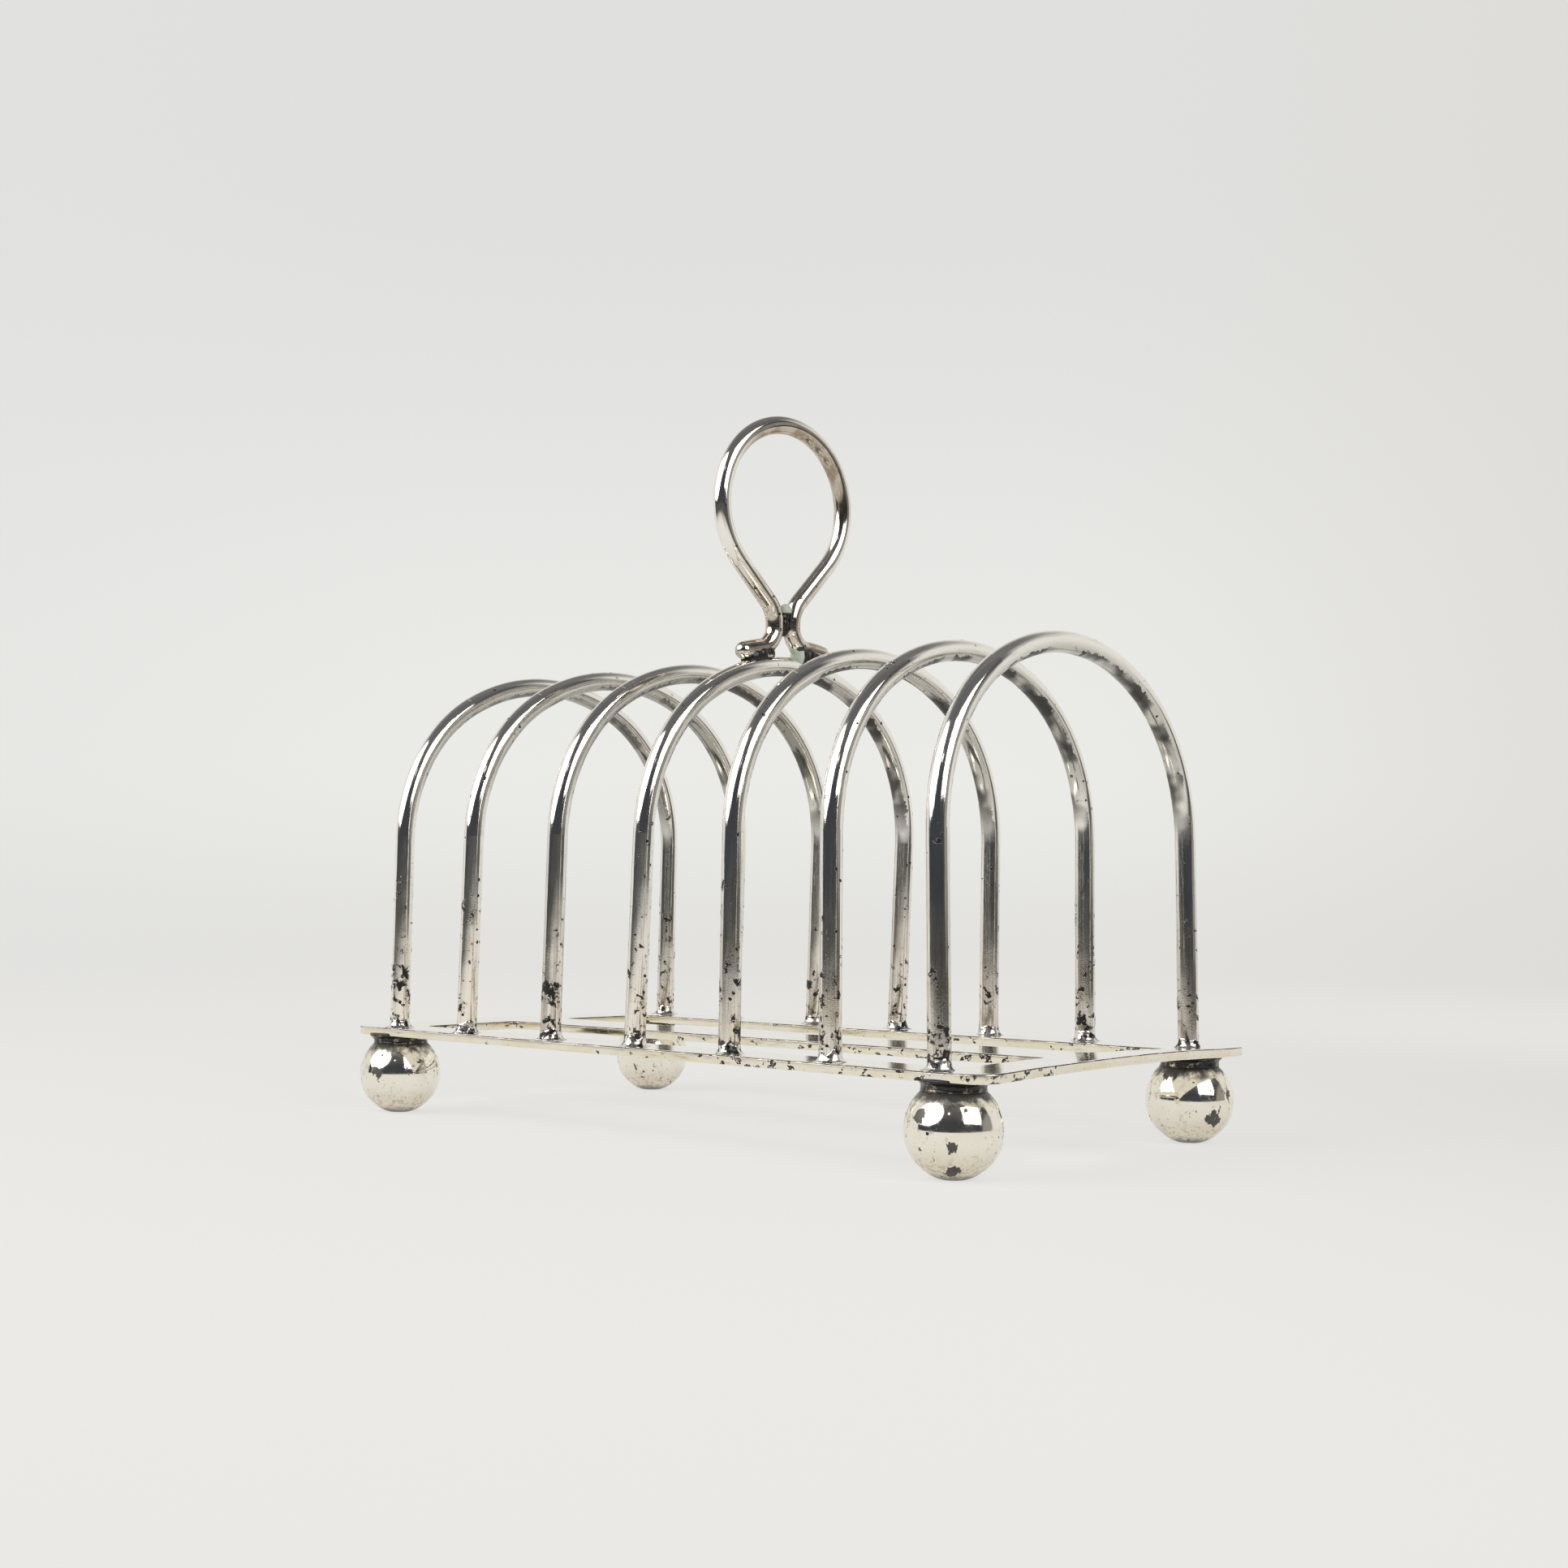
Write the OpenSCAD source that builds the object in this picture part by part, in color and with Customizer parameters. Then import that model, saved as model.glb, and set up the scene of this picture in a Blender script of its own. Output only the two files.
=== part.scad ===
// Seven-hoop toast rack: wire hoops and a ring handle on a pierced plate with four ball feet.
// Every piece is separate and soldered to its neighbours. The origin is under the middle of the
// plate, on the surface that the ball feet stand on. +X runs along the row of hoops, +Z is up.

/* [Base plate] */
// Length of the plate, along the row of hoops
base_length = 153; // [130:1:185]
// Width of the plate, across the hoops
base_width = 78; // [68:1:94]
// Thickness of the plate
base_thickness = 1.6; // [1.2:0.1:2.4]
// Radius of the plate's four corners
base_corner_r = 5; // [2:0.5:9]
// Width of the two long rails that the hoops stand on
side_rail_w = 9.5; // [8:0.5:13]
// Width of the rail at each end
end_rail_w = 11.5; // [8:0.5:20]
// Width of the bar between the two windows
centre_bar_w = 14; // [6:0.5:20]
// Radius of the windows' corners
window_corner_r = 1.5; // [0.5:0.5:4]

/* [Hoops] */
// Diameter of the hoop wire
hoop_wire_d = 3.7; // [3:0.1:4.6]
// Distance of the end hoops' centres from the plate's ends
hoop_end_inset = 10.5; // [8:0.5:16]
// Distance of the legs' centres from the plate's long edges
leg_side_inset = 3; // [2.6:0.1:4.5]
// Height of a hoop's straight legs above the plate
leg_height = 36.5; // [25:0.5:50]
// Bend radius of a hoop's shoulders, on the wire's centre line
shoulder_r = 30.3; // [20:0.1:31]
// Angle that each shoulder turns through before the flatter crown begins
shoulder_angle = 60; // [40:1:70]

/* [Ring handle] */
// Diameter of the handle wire
handle_wire_d = 3.3; // [2.7:0.1:4]
// Radius of the ring, on the wire's centre line
ring_r = 15; // [12:0.5:18]
// Height from the crown of its hoop up to the lowest point of the ring's circle
throat_height = 14.4; // [13:0.2:18]
// Clear gap between the two wires at the neck
neck_gap = 0.9; // [0.5:0.1:1.4]
// Length of the straight neck
neck_length = 0.5; // [0.3:0.1:1.5]
// Bend radius where the wires swing in to the neck
neck_bend_r = 6; // [5:0.5:8]
// Bend radius where the wires splay out on to the hoop
foot_bend_r = 4; // [3:0.5:5]
// Reach of each splayed foot from the middle of the handle
foot_reach = 9.5; // [8:0.5:12]

/* [Ball feet] */
// Diameter of a ball foot
ball_d = 15.3; // [13:0.1:19]
// Diameter of the flat that is seated against the plate
ball_seat_d = 4.8; // [3:0.1:6]
// Diameter of the flat that the ball has worn by standing
ball_wear_d = 4; // [2:0.1:5]
// Distance of the balls' centres from the plate's ends
ball_end_inset = 9.7; // [8:0.1:16]
// Distance of the balls' centres from the plate's long edges
ball_side_inset = 4.9; // [3:0.1:9]

/* [Solder] */
// Height of the solder fillet round a hoop's leg
fillet_height = 2.4; // [1.5:0.1:3.5]
// Width of that fillet on the plate, from the wire outwards
fillet_flare = 1.1; // [0.7:0.05:1.5]
// Diameter of the solder collar between a ball and the plate
collar_d = 11; // [9:0.1:11.8]
// Diameter of the solder beads that hold the handle
bead_d = 2.7; // [2.4:0.1:3.1]

/* [Hand-made slant] */
// Share of each hoop's slant and shift that is kept: 0 sets all seven square and evenly spaced
slant_share = 1; // [0:0.1:1]
// Angle that the handle sits round the crown from its middle, towards the front
handle_slide = 2.8; // [0:0.1:5]
// Angle that the ring is turned about its own neck
handle_twist = -5.9; // [-10:0.1:10]

/* [Hidden] */
$fn = 64;

silver = [0.80, 0.77, 0.71];
solder_grey = [0.45, 0.43, 0.39];
verdigris = [0.62, 0.70, 0.62];

// Radial gap between a leg and its hole, and how far the leg's end stays inside the plate
leg_clearance = 0.05;
leg_end_inset = 0.1;
// Film of solder between the handle's feet and the hoop under them
solder_film = 0.1;
// Length by which a cutting shape passes the face that it cuts
overcut = 1;
// Where one length of wire meets the next, both end inside a band that is this much proud
band_proud = 0.01;
band_length = 0.2;
band_gap = 0.02;

// Hoops: number, the hoop that carries the handle, and each hoop's own shift along X and slant
hoop_count = 7;
handle_hoop = 4;
hoop_shifts = [1.2, -0.9, 0.3, -0.2, 0.1, -0.1, -0.5];
hoop_slants = [0.9, 1.8, 1.7, 2.4, 0.5, -0.2, -1];
hoop_pitch = (base_length - 2 * hoop_end_inset) / (hoop_count - 1);
hoop_wire_r = hoop_wire_d / 2;
leg_y = base_width / 2 - leg_side_inset;
shoulder_y = leg_y - shoulder_r;
crown_r = shoulder_r + shoulder_y / cos(shoulder_angle);
crown_centre_z = leg_height - shoulder_y * tan(shoulder_angle);
crown_z = crown_centre_z + crown_r;

// Feet and plate: heights above the surface that the rack stands on
ball_r = ball_d / 2;
ball_seat_h = sqrt(pow(ball_r, 2) - pow(ball_seat_d / 2, 2));
ball_wear_h = sqrt(pow(ball_r, 2) - pow(ball_wear_d / 2, 2));
underside_z = ball_wear_h + ball_seat_h;
plate_z = underside_z + base_thickness;
ball_x = base_length / 2 - ball_end_inset;
ball_y = base_width / 2 - ball_side_inset;
collar_h = ball_seat_h - sqrt(pow(ball_r, 2) - pow(collar_d / 2, 2));

// Windows in the plate
window_l = base_length - 2 * end_rail_w;
window_w = (base_width - centre_bar_w) / 2 - side_rail_w;
window_y = (centre_bar_w + window_w) / 2;

// Solder fillet: the arc of its hollow face, which leaves a thin lip at each end
fillet_lip = 0.15;
fillet_rise = fillet_height - fillet_lip;
fillet_run = fillet_flare - fillet_lip;
fillet_arc_r = (pow(fillet_rise, 2) + pow(fillet_run, 2)) / (2 * fillet_run);

// Handle: heights are above the crown of its hoop, on the wires' centre lines
handle_wire_r = handle_wire_d / 2;
ring_rise = throat_height + ring_r;
neck_y = handle_wire_r + neck_gap / 2;
foot_path_r = crown_r + hoop_wire_r + handle_wire_r + solder_film;
foot_bend_y = neck_y + foot_bend_r;
foot_bend_z = sqrt(pow(foot_path_r + foot_bend_r, 2) - pow(foot_bend_y, 2)) - crown_r;
foot_start_angle = asin(foot_bend_y / (foot_path_r + foot_bend_r));
foot_end_angle = asin(foot_reach / foot_path_r);
neck_bend_y = neck_y + neck_bend_r;
neck_bend_z = foot_bend_z + neck_length;
ring_to_bend = [neck_bend_y, neck_bend_z - ring_rise];
ring_end_angle = atan2(ring_to_bend.y, ring_to_bend.x) + acos((ring_r + neck_bend_r) / norm(ring_to_bend));
ring_end = [ring_r * cos(ring_end_angle), ring_rise + ring_r * sin(ring_end_angle)];
neck_start = [
    neck_bend_y - neck_bend_r * cos(ring_end_angle),
    neck_bend_z - neck_bend_r * sin(ring_end_angle),
];
bead_r = bead_d / 2;
neck_bead_r = 1.5;
neck_bead_low = 1;
neck_bead_high = 1.8;
bead_start_angle = 0.4;
bead_overrun_angle = 1.2;

function hoop_x(k) = (k - (hoop_count + 1) / 2) * hoop_pitch + slant_share * hoop_shifts[k - 1];

function hoop_slant(k) = slant_share * hoop_slants[k - 1];

// Everything from here to the sub-parts is drawn in a hoop's own plane, YZ

// A bend of round wire about the X axis, between two angles measured from +Y towards +Z
module wire_bend(bend_r, wire_d, from, to) {
    gap_angle = band_gap / bend_r * 180 / PI;
    rotate([90, 0, 90])
        rotate([0, 0, from + gap_angle])
            rotate_extrude(angle = to - from - 2 * gap_angle)
                translate([bend_r, 0])
                    circle(d = wire_d);
}

// The band that joins the end of such a bend, at the given angle, to the next length of wire
module wire_band(bend_r, wire_d, at) {
    rotate([at, 0, 0])
        translate([0, bend_r, 0])
            cylinder(h = band_length, d = wire_d + 2 * band_proud, center = true);
}

// A straight length of round wire between two points [y, z]
module wire_straight(start, end, wire_d) {
    run = end - start;
    translate([0, start.x, start.y])
        rotate([-atan2(run.x, run.y), 0, 0])
            cylinder(h = norm(run), d = wire_d);
}

// Draws its children and their mirror image on the other side of the hoop
module both_sides() {
    children();
    mirror([0, 1, 0])
        children();
}

// Places children in the frame of hoop k: its origin is between the legs, on top of the plate
module at_hoop(k) {
    translate([hoop_x(k), 0, plate_z])
        rotate([0, hoop_slant(k), 0])
            children();
}

// Places children in the handle's frame, whose origin is on the crown of its hoop. Sliding
// turns about the crown's own centre, so the feet stay along the crown.
module at_handle(twist) {
    translate([0, 0, crown_centre_z])
        rotate([handle_slide, 0, 0])
            translate([0, 0, crown_r])
                rotate([0, 0, twist])
                    children();
}

// One leg, from bottom_z up to the shoulder
module leg(bottom_z, wire_d) {
    translate([0, leg_y, bottom_z])
        cylinder(h = leg_height - bottom_z, d = wire_d);
}

module crown() {
    translate([0, 0, crown_centre_z])
        wire_bend(crown_r, hoop_wire_d, shoulder_angle, 180 - shoulder_angle);
}

// A bend that follows the crown, between two angles measured from its top towards the back
module foot_path(path_r, wire_d, from, to) {
    translate([0, 0, -crown_r])
        wire_bend(path_r, wire_d, 90 - to, 90 - from);
}

// The splayed foot of one handle wire, along the crown and rounded at its tip
module handle_foot() {
    foot_path(foot_path_r, handle_wire_d, foot_start_angle, foot_end_angle);
    translate([0, 0, -crown_r]) {
        wire_band(foot_path_r, handle_wire_d, 90 - foot_end_angle);
        rotate([-foot_end_angle, 0, 0])
            translate([0, 0, foot_path_r])
                rotate([-90, 0, 0])
                    rotate_extrude()
                        intersection() {
                            circle(r = handle_wire_r);
                            square(handle_wire_r);
                        }
    }
}

module handle_neck_wire() {
    wire_straight([neck_y, foot_bend_z], [neck_y, neck_bend_z], handle_wire_d);
}

module handle_foot_bend() {
    translate([0, foot_bend_y, foot_bend_z]) {
        wire_bend(foot_bend_r, handle_wire_d, 180, 270 - foot_start_angle);
        wire_band(foot_bend_r, handle_wire_d, 180);
        wire_band(foot_bend_r, handle_wire_d, 270 - foot_start_angle);
    }
}

module handle_neck_bend() {
    translate([0, neck_bend_y, neck_bend_z]) {
        wire_bend(neck_bend_r, handle_wire_d, 180 + ring_end_angle, 180);
        wire_band(neck_bend_r, handle_wire_d, 180 + ring_end_angle);
        wire_band(neck_bend_r, handle_wire_d, 180);
    }
}

module handle_ring() {
    translate([0, 0, ring_rise]) {
        wire_bend(ring_r, handle_wire_d, ring_end_angle, 180 - ring_end_angle);
        wire_band(ring_r, handle_wire_d, ring_end_angle);
        wire_band(ring_r, handle_wire_d, 180 - ring_end_angle);
    }
}

// Plate outline with true round corners
module rounded_plate(length, width, corner_r, height) {
    linear_extrude(height) {
        square([length - 2 * corner_r, width], center = true);
        square([length, width - 2 * corner_r], center = true);
        for (sx = [-1, 1], sy = [-1, 1])
            translate([sx * (length / 2 - corner_r), sy * (width / 2 - corner_r)])
                circle(r = corner_r);
    }
}

// Sub-parts

module base_plate() {
    color(silver)
        difference() {
            translate([0, 0, underside_z])
                rounded_plate(base_length, base_width, base_corner_r, base_thickness);
            for (side = [-1, 1])
                translate([0, side * window_y, underside_z - overcut])
                    rounded_plate(window_l, window_w, window_corner_r, base_thickness + 2 * overcut);
            for (k = [1:hoop_count])
                at_hoop(k)
                    both_sides()
                        leg(-base_thickness - overcut, hoop_wire_d + 2 * leg_clearance);
        }
}

module hoop(k) {
    color(silver)
        at_hoop(k) {
            both_sides() {
                leg(leg_end_inset - base_thickness, hoop_wire_d);
                translate([0, shoulder_y, leg_height]) {
                    wire_bend(shoulder_r, hoop_wire_d, 0, shoulder_angle);
                    wire_band(shoulder_r, hoop_wire_d, 0);
                    wire_band(shoulder_r, hoop_wire_d, shoulder_angle);
                }
            }
            crown();
        }
}

// The two fillets that join hoop k to the plate
module hoop_solder(k) {
    color(solder_grey)
        difference() {
            for (side = [-1, 1])
                translate([hoop_x(k), side * leg_y, plate_z])
                    rotate_extrude()
                        difference() {
                            square([hoop_wire_r + fillet_flare, fillet_height]);
                            translate([hoop_wire_r + fillet_lip + fillet_arc_r, fillet_height])
                                circle(r = fillet_arc_r);
                        }
            at_hoop(k)
                both_sides()
                    leg(-overcut, hoop_wire_d);
        }
}

module ring_handle() {
    color(silver)
        at_hoop(handle_hoop)
            at_handle(handle_twist) {
                handle_ring();
                both_sides() {
                    wire_straight(neck_start, ring_end, handle_wire_d);
                    handle_neck_bend();
                    handle_neck_wire();
                    handle_foot_bend();
                    handle_foot();
                }
            }
}

// The bead that closes the neck between the two handle wires
module handle_neck_solder() {
    color(verdigris)
        at_hoop(handle_hoop)
            at_handle(handle_twist)
                difference() {
                    translate([0, 0, foot_bend_z - neck_bead_low])
                        cylinder(h = neck_bead_low + neck_length + neck_bead_high, r = neck_bead_r);
                    both_sides() {
                        handle_neck_bend();
                        handle_neck_wire();
                        handle_foot_bend();
                    }
                }
}

// The bead between one splayed foot and the crown: side is -1 at the front and 1 at the back
module handle_foot_solder(side) {
    start = foot_start_angle + bead_start_angle;
    end = foot_end_angle + bead_overrun_angle;
    color(verdigris)
        at_hoop(handle_hoop)
            difference() {
                at_handle(0)
                    mirror([0, side > 0 ? 0 : 1, 0])
                        foot_path(crown_r + hoop_wire_r, bead_d, start, end);
                crown();
                at_handle(handle_twist)
                    mirror([0, side > 0 ? 0 : 1, 0])
                        foot_path(foot_path_r, handle_wire_d, 0, end + bead_overrun_angle);
            }
}

// A ball foot, flat where it meets the plate and where it stands
module foot(sx, sy) {
    color(silver)
        translate([sx * ball_x, sy * ball_y, ball_wear_h])
            intersection() {
                sphere(r = ball_r);
                translate([-ball_d / 2, -ball_d / 2, -ball_wear_h])
                    cube([ball_d, ball_d, underside_z]);
            }
}

// The collar of solder round the seat of that ball
module foot_solder(sx, sy) {
    color(solder_grey)
        translate([sx * ball_x, sy * ball_y, 0])
            difference() {
                translate([0, 0, underside_z - collar_h])
                    cylinder(h = collar_h, d = collar_d);
                translate([0, 0, ball_wear_h])
                    sphere(r = ball_r);
            }
}

base_plate();
hoop(1);  // hoop_1
hoop(2);  // hoop_2
hoop(3);  // hoop_3
hoop(4);  // hoop_4
hoop(5);  // hoop_5
hoop(6);  // hoop_6
hoop(7);  // hoop_7
hoop_solder(1);  // hoop_solder_1
hoop_solder(2);  // hoop_solder_2
hoop_solder(3);  // hoop_solder_3
hoop_solder(4);  // hoop_solder_4
hoop_solder(5);  // hoop_solder_5
hoop_solder(6);  // hoop_solder_6
hoop_solder(7);  // hoop_solder_7
ring_handle();
handle_neck_solder();
handle_foot_solder(-1);  // handle_front_solder
handle_foot_solder(1);  // handle_back_solder
foot(-1, -1);  // foot_front_left
foot(1, -1);  // foot_front_right
foot(-1, 1);  // foot_back_left
foot(1, 1);  // foot_back_right
foot_solder(-1, -1);  // foot_solder_front_left
foot_solder(1, -1);  // foot_solder_front_right
foot_solder(-1, 1);  // foot_solder_back_left
foot_solder(1, 1);  // foot_solder_back_right
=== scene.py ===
"""Toast rack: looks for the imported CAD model. Seven silver-plated wire hoops and a ring handle on a
pierced plate with four ball feet, all soldered together and worn. Lengths are in metres."""

import math

import bmesh
import bpy
from mathutils import Euler, Matrix, Vector, noise


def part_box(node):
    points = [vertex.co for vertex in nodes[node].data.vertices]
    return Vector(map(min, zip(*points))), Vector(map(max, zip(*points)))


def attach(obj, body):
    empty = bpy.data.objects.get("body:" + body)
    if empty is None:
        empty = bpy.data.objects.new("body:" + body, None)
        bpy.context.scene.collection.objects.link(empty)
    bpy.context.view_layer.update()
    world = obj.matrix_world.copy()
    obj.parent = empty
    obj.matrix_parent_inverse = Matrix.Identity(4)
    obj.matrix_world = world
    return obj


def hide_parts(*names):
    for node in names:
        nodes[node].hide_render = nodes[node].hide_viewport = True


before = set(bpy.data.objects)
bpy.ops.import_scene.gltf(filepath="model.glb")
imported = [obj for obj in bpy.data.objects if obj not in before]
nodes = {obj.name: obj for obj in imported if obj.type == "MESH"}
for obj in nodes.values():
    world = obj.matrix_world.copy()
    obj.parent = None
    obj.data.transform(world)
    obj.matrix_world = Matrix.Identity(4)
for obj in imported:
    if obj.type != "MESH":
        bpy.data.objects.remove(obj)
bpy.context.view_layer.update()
MM = 0.001

# Sizes that the shaders and pieces share with the CAD model
HOOPS = 7
PLATE_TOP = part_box("base_plate")[1].z
LEG_Y = 36 * MM
LEG_HEIGHT = 36.5 * MM
HOOP_WIRE_R = 1.85 * MM
SHOULDER_Y = 5.7 * MM
SHOULDER_R = 30.3 * MM
SHOULDER_ANGLE = math.radians(60)
CROWN_R = SHOULDER_R + SHOULDER_Y / math.cos(SHOULDER_ANGLE)
CROWN_CENTRE_Z = LEG_HEIGHT - SHOULDER_Y * math.tan(SHOULDER_ANGLE)
TO_CROWN = LEG_HEIGHT + SHOULDER_R * SHOULDER_ANGLE
HALF_WIRE = TO_CROWN + CROWN_R * (math.pi / 2 - SHOULDER_ANGLE)
HOOP_X = [-64.8 * MM, -44.9 * MM, -21.7 * MM, -0.2 * MM, 22.1 * MM, 43.9 * MM, 65.5 * MM]
HOOP_SLANT = [math.radians(a) for a in (0.9, 1.8, 1.7, 2.4, 0.5, -0.2, -1.0)]
HANDLE_HOOP = 4
HANDLE_SLIDE = math.radians(2.8)
HANDLE_TWIST = math.radians(-5.9)
RING_R = 15 * MM
RING_RISE = 29.4 * MM
BALL_R = 7.65 * MM


# Shader graphs


class Graph:
    """Builds the node tree of a material or a world. Inputs may be numbers, tuples or sockets."""

    def __init__(self, owner):
        owner.use_nodes = True
        self.owner = owner
        self.tree = owner.node_tree
        self.tree.nodes.clear()
        source = self.node("ShaderNodeTexCoord")
        self.coordinates, self.facing = source.outputs["Object"], source.outputs["Normal"]
        self.direction = source.outputs["Generated"]

    def node(self, kind, **settings):
        made = self.tree.nodes.new(kind)
        for key, value in settings.items():
            setattr(made, key, value)
        return made

    def put(self, socket, value):
        if isinstance(value, bpy.types.NodeSocket):
            self.tree.links.new(value, socket)
        elif value is not None:
            socket.default_value = value

    def math(self, operation, a, b=None, c=None, clamp=False):
        made = self.node("ShaderNodeMath", operation=operation, use_clamp=clamp)
        for socket, value in zip(made.inputs, (a, b, c)):
            self.put(socket, value)
        return made.outputs[0]

    def split(self, vector):
        made = self.node("ShaderNodeSeparateXYZ")
        self.put(made.inputs[0], vector)
        return made.outputs[0], made.outputs[1], made.outputs[2]

    def join(self, x, y, z):
        made = self.node("ShaderNodeCombineXYZ")
        for socket, value in zip(made.inputs, (x, y, z)):
            self.put(socket, value)
        return made.outputs[0]

    def local(self, vector, location, rotation=(0, 0, 0)):
        """The vector as seen from a frame with this origin and rotation."""
        made = self.node("ShaderNodeMapping", vector_type="TEXTURE")
        self.put(made.inputs["Vector"], vector)
        made.inputs["Location"].default_value = location
        made.inputs["Rotation"].default_value = rotation
        return made.outputs[0]

    def scaled(self, vector, scale, location=(0, 0, 0)):
        made = self.node("ShaderNodeMapping")
        self.put(made.inputs["Vector"], vector)
        made.inputs["Scale"].default_value = scale
        made.inputs["Location"].default_value = location
        return made.outputs[0]

    def length(self, vector):
        made = self.node("ShaderNodeVectorMath", operation="LENGTH")
        self.put(made.inputs[0], vector)
        return made.outputs["Value"]

    def ramp(self, value, low, high, to_low=0.0, to_high=1.0):
        made = self.node("ShaderNodeMapRange", interpolation_type="SMOOTHSTEP")
        keys = ("Value", "From Min", "From Max", "To Min", "To Max")
        for key, given in zip(keys, (value, low, high, to_low, to_high)):
            self.put(made.inputs[key], given)
        return made.outputs[0]

    def noise(self, vector, scale, detail=3.0, roughness=0.5, distortion=0.0):
        made = self.node("ShaderNodeTexNoise")
        self.put(made.inputs["Vector"], vector)
        made.inputs["Scale"].default_value = scale
        made.inputs["Detail"].default_value = detail
        made.inputs["Roughness"].default_value = roughness
        made.inputs["Distortion"].default_value = distortion
        return made.outputs["Fac"]

    def shifted(self, vector, scale, amount):
        """The vector moved about by a coloured noise, so that round spots come out ragged."""
        made = self.node("ShaderNodeTexNoise")
        self.put(made.inputs["Vector"], vector)
        made.inputs["Scale"].default_value = scale
        centred = self.node("ShaderNodeVectorMath", operation="SUBTRACT")
        self.put(centred.inputs[0], made.outputs["Color"])
        centred.inputs[1].default_value = (0.5, 0.5, 0.5)
        moved = self.node("ShaderNodeVectorMath", operation="MULTIPLY_ADD")
        self.put(moved.inputs[0], centred.outputs[0])
        moved.inputs[1].default_value = (amount, amount, amount)
        self.put(moved.inputs[2], vector)
        return moved.outputs[0]

    def cells(self, vector, scale):
        made = self.node("ShaderNodeTexVoronoi")
        self.put(made.inputs["Vector"], vector)
        made.inputs["Scale"].default_value = scale
        return made.outputs["Distance"], made.outputs["Color"]

    def mix(self, factor, a, b):
        made = self.node("ShaderNodeMix", data_type="RGBA")
        self.put(made.inputs[0], factor)
        self.put(made.inputs[6], colour(a))
        self.put(made.inputs[7], colour(b))
        return made.outputs[2]

    def bump(self, height, distance, strength=1.0, normal=None):
        made = self.node("ShaderNodeBump")
        made.inputs["Strength"].default_value = strength
        made.inputs["Distance"].default_value = distance
        self.put(made.inputs["Height"], height)
        self.put(made.inputs["Normal"], normal)
        return made.outputs[0]

    def finish(self, **inputs):
        shader = self.node("ShaderNodeBsdfPrincipled")
        for key, value in inputs.items():
            self.put(shader.inputs[key.replace("_", " ")], value)
        output = self.node("ShaderNodeOutputMaterial")
        self.tree.links.new(shader.outputs[0], output.inputs["Surface"])
        return self.owner


def material_graph(name):
    return Graph(bpy.data.materials.new(name))


def colour(value):
    """A colour as the sockets take it, with its alpha. Sockets and numbers pass through."""
    return (*value, 1.0) if isinstance(value, tuple) and len(value) == 3 else value


# Linear colours: bare silver, the warm film on each kind of piece, and the tarnish. GREY_BROWN and
# the balls' stain colour also tint painted dark reflection and painted shade
BRIGHT = (0.95, 0.94, 0.89)
HANDLE_FILM = (0.90, 0.80, 0.66)
HOOP_FILM = (0.93, 0.82, 0.675)
PLATE_FILM = (0.87, 0.80, 0.63)
BALL_FILM = (0.915, 0.865, 0.735)
HANDLE_STAIN = (0.38, 0.30, 0.21)
BALL_STAIN_AND_SHADE = (0.55, 0.45, 0.32)
GREY_BROWN = (0.33, 0.32, 0.28)
BROWN = (0.175, 0.135, 0.08)
BLACK = (0.020, 0.019, 0.018)
LEG_SOLDER = (0.82, 0.79, 0.73)
BALL_SOLDER = (0.22, 0.185, 0.14)
HANDLE_SOLDER = (0.68, 0.66, 0.57)
VERDIGRIS_DARK = (0.38, 0.46, 0.38)
VERDIGRIS_PALE = (0.66, 0.72, 0.58)


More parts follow.
